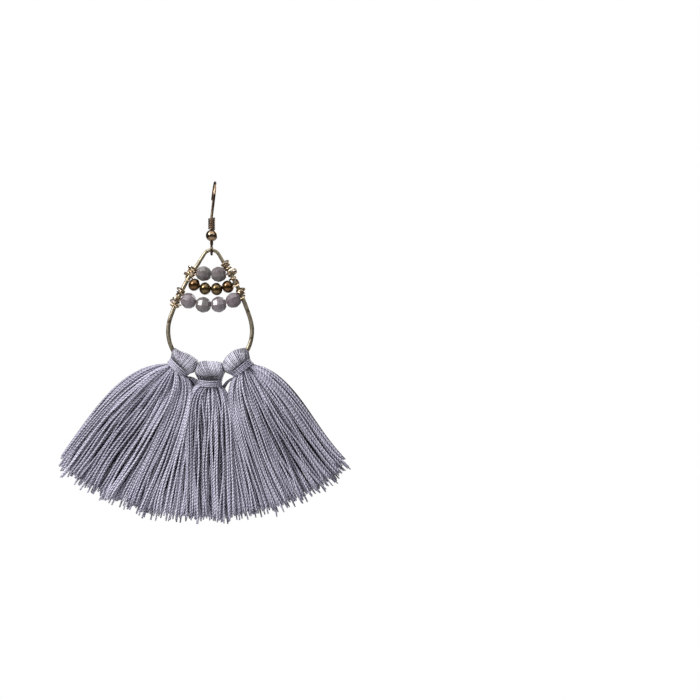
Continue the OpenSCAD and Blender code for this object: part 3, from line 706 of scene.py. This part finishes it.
def silky_thread(name, shade, shine, groove_shade, inner, edge, relief):
    """Silky twisted thread: each thread has its own tone between two colours. Painted shade makes it darker
    in the twist's grooves, by the share given for the grooves, and on the sides that look into the bundle, by
    the share inner. edge is where the painted-shade attribute goes from dark to light, and relief the
    grooves' depth in millimetres."""
    silk, tree, shader = new_material(name)
    shader.inputs["IOR"].default_value = 1.5
    lengths = node(tree, "UVMap", -1100, 0, uv_map="twist")
    own = node(tree, "Attribute", -1100, 250, attribute_name="tone")
    twist = node(tree, "Group", -900, 0, {"Map": lengths.outputs["UV"]}, node_tree=ply_twist)
    tone = node(tree, "Math", -700, 250, {0: own.outputs["Fac"], 2: twist.outputs["Fuzz"]},
                operation="MULTIPLY_ADD")
    tone.inputs[1].default_value = 0.7
    level = node(tree, "MapRange", -540, 250, {"Value": tone.outputs[0]}, From_Min=0.4, From_Max=1.25)
    base = between(tree, -360, 250, level.outputs["Result"], shade, shine)
    uneven = node(tree, "MapRange", -740, -20, {"Value": twist.outputs["Fuzz"]}, From_Min=0.35,
                  From_Max=0.65, To_Min=groove_shade, To_Max=min(1.0, groove_shade + 0.3))
    dark = node(tree, "MapRange", -540, -20,
                {"Value": twist.outputs["Ridge"], "To Min": uneven.outputs["Result"]}, To_Max=1.0)
    looks_out = node(tree, "Attribute", -740, -220, attribute_name="painted_lighting")
    side = node(tree, "MapRange", -540, -220, {"Value": looks_out.outputs["Fac"]}, From_Min=edge[0],
                From_Max=edge[1], To_Min=inner, To_Max=1.0)
    both = node(tree, "Math", -360, 20, {0: dark.outputs["Result"], 1: side.outputs["Result"]},
                operation="MULTIPLY")
    colour = node(tree, "Mix", -160, 200, {6: base.outputs[2], 7: both.outputs[0]}, data_type="RGBA",
                  blend_type="MULTIPLY")
    colour.inputs[0].default_value = 1
    gloss = node(tree, "MapRange", -360, -140, {"Value": twist.outputs["Fuzz"]}, To_Min=0.32, To_Max=0.55)
    bump = node(tree, "Bump", -360, -350, {"Height": twist.outputs["Ridge"]}, Strength=1.0,
                Distance=relief / 1000)
    join_shader(tree, shader, colour, gloss, bump)
    return silk


# Both thread materials paint shade into the twist's grooves and onto the threads' sides that look into the
# bundle.
lavender = silky_thread("lavender_thread", (0.39, 0.37, 0.49), (0.79, 0.76, 0.93), groove_shade=0.26, inner=0.19,
                        edge=(0.25, 0.92), relief=0.12)
tight_lavender = silky_thread("lavender_thread_tight", (0.34, 0.325, 0.41), (0.88, 0.85, 0.98), groove_shade=0.84,
                              inner=0.20, edge=(0.46, 1.0), relief=0.06)

# The heads: threads laid side by side over the hoop, up from the neck in front and down again behind. The
# neck squeezes them, so the outer ones slant in order towards it and the last ones come round the rounded
# ends. More loops lie under them and close the two ends round the hoop's wire.
HEAD_FIRST, HEAD_LAST, HEAD_END, NECK_WIDE, NECK_DEEP = 38, 322, 0.94, 0.8, 0.86
HEAD_LAYERS = ((29, 2.3, 1.0, 0.3), (21, 1.5, 0.93, 0.5), (9, 1.0, 0.76, 0.7))
END_LOOPS = ((0.82, 1), (0.66, 0.8), (0.5, 0.6), (0.42, 0.4), (0.36, 0.2))


def head_loop(tassel, at, share, gather, deep=1, points=34):
    """One thread over the hoop, and its ways out. at is its place along the top of the head, -1 and 1 at its
    ends and more for one that comes round an end, nearer to the wire. share is its size against the head's,
    and deep its depth against the head's there. At the neck it is at the share gather of its place."""
    way = np.radians(np.linspace(HEAD_FIRST, HEAD_LAST, points))
    over = (1 - np.cos(way)) / 2
    wish = at * (gather + (1 - gather) * over)
    wish = wish + tassel["slant"] * np.cos(way / 2) * np.clip(1 - wish ** 2, 0, 1)
    past = np.clip(np.abs(wish) - HEAD_END, 0, 1)
    place = np.clip(wish, -HEAD_END, HEAD_END) + 0.07 * np.sign(at) * past
    size = np.maximum(np.interp(place, *zip(*tassel["sizes"])) * share * (1 - 0.42 * past), 0.2)
    middle = HOOP_R - HEAD_IN * (size / share + 0.2)
    turn = tassel["turn"] + HEAD_LEN / 2 * place * tassel["reach"][int(at > 0)] / HOOP_R
    path = down(turn, middle + HEAD_TALL / 2 * size * np.cos(way))
    path[:, 1] = -HEAD_DEEP / 2 * deep * (0.1 + 0.9 * size) * np.sin(way)
    outward = unit(path - down(turn, middle))
    neck, across = neck_of(tassel)
    for i, front in ((0, -1), (-1, 1)):
        x = place[i] * NECK_WIDE * HEAD_LEN / 2
        y = front * deep * NECK_DEEP * sqrt(max(NECK_D ** 2 / 4 - x * x, 1))
        path[i] = neck + across * x + np.array([0, y, 0])
    return path, outward


for name, tassel in TASSELS.items():
    loops = []
    for count, widest, share, gather in HEAD_LAYERS:
        for i in range(count):
            at = widest * (-1 + 2 * i / (count - 1)) + chance.uniform(-0.02, 0.02)
            own = share * chance.uniform(0.972, 1.0)
            loops.append(head_loop(tassel, at, own, gather + chance.uniform(-0.03, 0.03)))
    for end in (-HEAD_END, HEAD_END):
        for share, deep in END_LOOPS:
            loops.append(head_loop(tassel, end, share, 0.9, deep))
    paths, outward = (np.array(part) for part in zip(*loops))
    # The heads carry painted shade: darkest at both ends of each loop at the neck, and lifted on the head's
    # top by each tassel's own amount.
    head = threads("head_" + name, paths, outward, HEAD_THREAD, 8,
                   pressed=((0, 12, 21, 33), (0.6, 1, 1, 0.6)),
                   shade_lift=((0, 16.5, 33), (-0.8, tassel["top_shade_lift"], -0.8)))
    head.data.materials.append(tight_lavender)
    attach(head, "drop")

# The bindings: a thread of the same kind wound a little more than four times round each neck, with its two
# ends tucked in. It isn't quite level, and the mid one droops in front.
BIND_OUT, BIND_START, BIND_PITCH, TUCK = 0.12, 1.2, BIND_THREAD * 0.97, 0.15
for name, tassel in TASSELS.items():
    centre, across = neck_of(tassel)
    axis = down(tassel["turn"], 1.0) - down(tassel["turn"], 0.0)
    t = np.linspace(-0.1, BIND_TURNS + 0.3, 200)
    a = 2 * pi * t + BIND_START
    r = NECK_D / 2 + BIND_OUT + 0.05 * np.sin(2.3 * a)
    r = r - BIND_THREAD * np.clip((t - BIND_TURNS - TUCK) / TUCK, 0, 1)
    r = r - BIND_THREAD * np.clip((0.05 - t) / TUCK, 0, 1)
    rise = (np.clip(t, 0, BIND_TURNS + 0.1) - BIND_TURNS / 2) * BIND_PITCH + 0.05 * np.sin(5 * t)
    rise = rise + 0.06 * np.sin(a + 1) - tassel["droop"] * np.sin(a)
    path = centre + np.outer(r * np.cos(a), across) + np.outer(r * np.sin(a), [0, 1, 0])
    path = path + np.outer(rise, axis)
    outward = unit((path - centre) - np.outer((path - centre) @ axis, axis))
    # The binding's side that faces the neck carries painted shade.
    binding = threads("binding_thread_" + name, path[None], outward[None], BIND_THREAD, 8)
    binding.data.materials.append(lavender)
    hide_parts("binding_" + name)
    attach(binding, "drop")

# The skirts: the threads' cut ends, spread into a wide fan that is a few threads deep. They leave the neck in
# a tight round bundle, the outer ones nearly level before they fall, part into small locks, and end raggedly.
HEM_R, HEM_REACH, SKIRT_DEEP, UNDER_BIND = 50, 0.952, 5, 1.3
LOCK, GATHER, WANDER, SWAY, LIFT = 3, 0.28, 0.45, 0.9, 0.2
STRAYS, STRAY_OUT, LONGER, STANDING_OFF, ARRIVE = 0.22, 0.28, 0.30, 0.45, 0.34
PLAIN_LAYERS = (0, 0.65)
# EDGES are the lines at the sides of the skirts: their turn at the hem, their length against HEM_R, and the
# way that the threads fall there. LEAVE has the ways that the threads of a skirt's two sides leave the neck,
# and how far they go that way. ACROSS is how many lie side by side. Turns and ways are in degrees.
EDGES = [(-48.1, 1.06, -37), (-8.8, 0.985, -6), (9.6, 0.98, 7), (47.9, 1.01, 53)]
LEAVE = {"left": ((-90, 98), (0.27, 0.15)), "mid": ((-106, 72), (0.15, 0.15)),
         "right": ((-80, 84), (0.12, 0.24))}
ACROSS = {"left": 47, "mid": 22, "right": 47}


def blend(pair, share):
    return pair[0] + (pair[1] - pair[0]) * share


def skirt_paths(name, i, layers, rng, points=32):
    """Paths from neck to hem for some layers of a skirt, and their ways out. layers are their places from
    front (-1) to back (1), and i is the number of the line at the skirt's left."""
    tassel, count = TASSELS[name], ACROSS[name]
    root_middle, across_neck = neck_of(tassel, BIND_TALL / 2)
    origin = down(0.0, 0.0)
    a, b = EDGES[i], EDGES[i + 1]
    made = []
    for layer in layers:
        # The threads' places side by side, and the locks of about three that they part into. Two layers stay
        # unparted, so that no light comes through.
        share = (np.arange(count) + 0.5 + rng.uniform(-0.25, 0.25, count)) / count
        cuts = (np.arange(1, count // LOCK) + rng.uniform(-0.4, 0.4, count // LOCK - 1)) * LOCK / count
        lock, locks = np.searchsorted(cuts, share), len(cuts) + 1
        bounds = np.concatenate([[0], cuts, [1]])
        parted = layer not in PLAIN_LAYERS
        middle = ((bounds[1:] + bounds[:-1]) / 2)[lock] if parted else share
        drift = rng.uniform(-0.6, 0.6, locks)[lock] / count
        lift = rng.uniform(-1, 1, locks)[lock]

        # How far down each thread reaches. Some hang out of the hem, and the fan's corners are cut shorter.
        reach = HEM_REACH + rng.uniform(-0.010, 0.014, locks)[lock] + rng.normal(0, 0.011, count)
        reach = reach + np.where(rng.uniform(0, 1, count) < LONGER, rng.uniform(0.01, 0.055, count), 0)
        if name == "left":
            reach = reach - 0.05 * np.clip(1 - share / 0.07, 0, 1)
        if name == "right":
            reach = reach - 0.04 * np.clip(1 - (1 - share) / 0.10, 0, 1)
        at = np.linspace(0, 1, points)[None, :] * reach[:, None]

        # The place of each thread's points across the skirt, from 0 to 1: it gathers into its lock, wanders
        # by itself and sways with its lock. Some threads of the outer layers stray over the others.
        wander = rng.uniform(-1, 1, (count, 4))[:, :, None]
        edge = np.clip(np.minimum(share, 1 - share) * 16, 0, 1)[:, None]
        joining = (middle - share)[:, None] * GATHER * np.clip(1.6 * at, 0, 1) + drift[:, None] * at
        s = share[:, None] + joining * edge
        s = s + edge * WANDER / count * (wander[:, 0] * np.sin(7 * at + 3 * wander[:, 1])
                                         + wander[:, 2] * np.sin(13 * at + 3 * wander[:, 3]))
        sway, beat = rng.uniform(-1, 1, (2, locks))[:, lock, None]
        s = s + edge * SWAY / count * sway * np.sin(6 * at + 3 * beat) * parted
        strays = (rng.uniform(0, 1, count) < STRAYS) & (abs(layer) > 0.6)
        over = np.where(strays, rng.uniform(-2.2, 2.2, count) / count, 0)[:, None]
        s = np.clip(s + over * edge * np.sin(2.2 * at - 0.9), 0.002, 0.998)

        # The curve from the neck to the hem, and how far it keeps the way that it leaves the neck. The mid
        # skirt pushes the inner threads behind it aside. A few of the outermost stand off at the shoulders.
        root = root_middle + ((s - 0.5) * (NECK_D - 0.6))[..., None] * across_neck
        hem = down(np.radians(blend((a[0], b[0]), s)), HEM_R * blend((a[1], b[1]), s))
        long = np.linalg.norm(hem - root, axis=2)
        pull = blend(LEAVE[name][1], s)
        outer = share if name == "left" else 1 - share
        if layer > 0 and name != "mid":
            inner = share[:, None] if name == "left" else 1 - share[:, None]
            pull = pull + 0.16 * np.clip((inner - 0.82) / 0.18, 0, 1) * (name == "left" or inner > 0.97)
        stands_off = (outer < 0.05) & (rng.uniform(0, 1, count) < STANDING_OFF) & (name != "mid")
        pull = pull + np.where(stands_off, rng.uniform(0.03, 0.10, count), 0)[:, None]
        leave = root + down(np.radians(blend(LEAVE[name][0], s)), long * pull) - origin
        near = hem - down(np.radians(blend((a[2], b[2]), s)), ARRIVE * long) + origin
        t = at[..., None]
        path = (1 - t) ** 3 * root + 3 * (1 - t) ** 2 * t * leave + 3 * (1 - t) * t * t * near + t ** 3 * hem

        # From front to back: the neck's round bundle opens into flat layers, and strays lie outside them.
        spread = np.clip(at * 1.9, 0, 1)
        spread = spread * spread * (3 - 2 * spread)
        round_off = np.sqrt(np.clip(1 - (2 * s - 1) ** 2, 0.06, 1))
        at_neck = np.clip(layer * 0.55 + rng.uniform(-0.45, 0.45, count), -1, 1)[:, None]
        at_neck = at_neck * round_off * NECK_D * 0.49
        at_hem = layer * SKIRT_DEEP / 2 * (0.6 + 0.4 * round_off) + LIFT * lift[:, None]
        at_hem = at_hem + 0.22 * wander[:, 3]
        path[..., 1] = at_neck + (at_hem - at_neck) * spread
        path[..., 1] += 0.16 * wander[:, 1] * np.sin(9 * at + 3 * wander[:, 0])
        path[..., 1] += np.where(strays, STRAY_OUT * np.sign(layer), 0)[:, None] * spread
        top = path[:, :1] + (down(tassel["turn"], 0.0) - down(tassel["turn"], UNDER_BIND))
        top[..., 1] *= 0.9
        made.append(np.concatenate([top, path], 1))
    made = np.concatenate(made)
    outward = np.zeros_like(made)
    outward[..., 1] = 1 if layers[0] > 0 else -1
    return made, outward


for i, (name, tassel) in enumerate(TASSELS.items()):
    skirt_shade_lift = tassel["skirt_shade_lift"]
    for part, seed, layers in (("front", 90, (-1.0, -0.65, -0.3, 0)), ("back", 80, (0.3, 0.65, 1.0))):
        paths, outward = skirt_paths(name, i, layers, np.random.default_rng(seed + i))
        # The skirts carry painted shade on the threads' inner sides: light near the neck, deepest part way
        # down, light again at the hem, lifted in the left skirt and deepened in the right.
        skirt = threads("skirt_%s_%s" % (name, part), paths, outward, THREAD,
                        pressed=((0, 6, 30, 32), (0.66, 1, 1, 0.7)),
                        shade_lift=((0, 5, 12, 20, 32), (0.9, 0.75, 0.25 + skirt_shade_lift, skirt_shade_lift, 0.85)))
        skirt.data.materials.append(lavender)
        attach(skirt, "drop")
        if part == "front":
            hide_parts("tassel_" + name)

# The studio: a pale floor well below the earring that looks as evenly lit as a light table, a large softbox
# above and in front, a small one at the left, a dim one at the right and one behind, a white surround for the
# camera and a dim one for reflections, and a long lens at the earring's height.
FLOOR_WIDE, FLOOR_LOW, LAMP_AWAY = 1.6, 0.42, 0.75
MIDDLE = Vector((0, -0.0037, -0.045))
bpy.ops.object.select_all(action="DESELECT")
bpy.ops.mesh.primitive_plane_add(size=FLOOR_WIDE, location=(0, 0, -FLOOR_LOW))
floor = bpy.context.object
floor.name = "floor"
floor_paint, paint_tree, paint = new_material("pale_floor")
paint.inputs["Base Color"].default_value = (0.9, 0.9, 0.9, 1)
paint.inputs["Roughness"].default_value = 0.7
paint.inputs["Emission Color"].default_value = (0.55, 0.55, 0.55, 1)
floor_seen = node(paint_tree, "LightPath", -300, -200)
paint_tree.links.new(floor_seen.outputs["Is Camera Ray"], paint.inputs["Emission Strength"])
floor.data.materials.append(floor_paint)
floor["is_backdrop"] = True

for name, way, size, power in (("softbox_left", (-0.66, -0.55, 0.52), 0.32, 5.8),
                               ("softbox_right", (0.58, -0.55, 0.60), 0.5, 0.9),
                               ("softbox_top", (-0.14, -0.40, 0.9), 0.95, 5.6),
                               ("softbox_back", (0.35, 0.75, 0.35), 0.6, 3.2)):
    lamp = bpy.data.objects.new(name, bpy.data.lights.new(name, "AREA"))
    bpy.context.scene.collection.objects.link(lamp)
    lamp.data.shape, lamp.data.size, lamp.data.energy = "SQUARE", size, power
    lamp.location = MIDDLE + Vector(way).normalized() * LAMP_AWAY
    lamp.rotation_euler = (-Vector(way)).to_track_quat("-Z", "Y").to_euler()

world = bpy.data.worlds.new("white_surround")
bpy.context.scene.world = world
world.use_nodes = True
sky = world.node_tree
seen = node(sky, "LightPath", -600, 200)
dim = node(sky, "Background", -300, 0, Color=(0.95, 0.97, 1.0, 1), Strength=0.08)
white = node(sky, "Background", -300, -150, Color=(1, 1, 1, 1), Strength=1.0)
both = node(sky, "MixShader", -50, 0,
            {0: seen.outputs["Is Camera Ray"], 1: dim.outputs[0], 2: white.outputs[0]})
sky.links.new(both.outputs[0], sky.nodes["World Output"].inputs["Surface"])

# The camera stands where the photo's 700 pixels, at its scale, show the earring in its place.
PHOTO, PHOTO_SCALE, PHOTO_X, PHOTO_Y = 700, 3.9, 214.1, 182.77
LENS, SENSOR = 100, 36
camera = bpy.data.objects.new("camera", bpy.data.cameras.new("camera"))
bpy.context.scene.collection.objects.link(camera)
camera.data.lens, camera.data.sensor_width = LENS, SENSOR
camera.location = ((PHOTO / 2 - PHOTO_X) / PHOTO_SCALE / 1000,
                   EYE.y / 1000 - PHOTO / PHOTO_SCALE / 1000 * LENS / SENSOR,
                   (PHOTO_Y - PHOTO / 2) / PHOTO_SCALE / 1000)
camera.rotation_euler = (radians(90), 0, 0)
bpy.context.scene.camera = camera
bpy.context.scene.view_settings.view_transform = "Standard"

low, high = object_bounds()
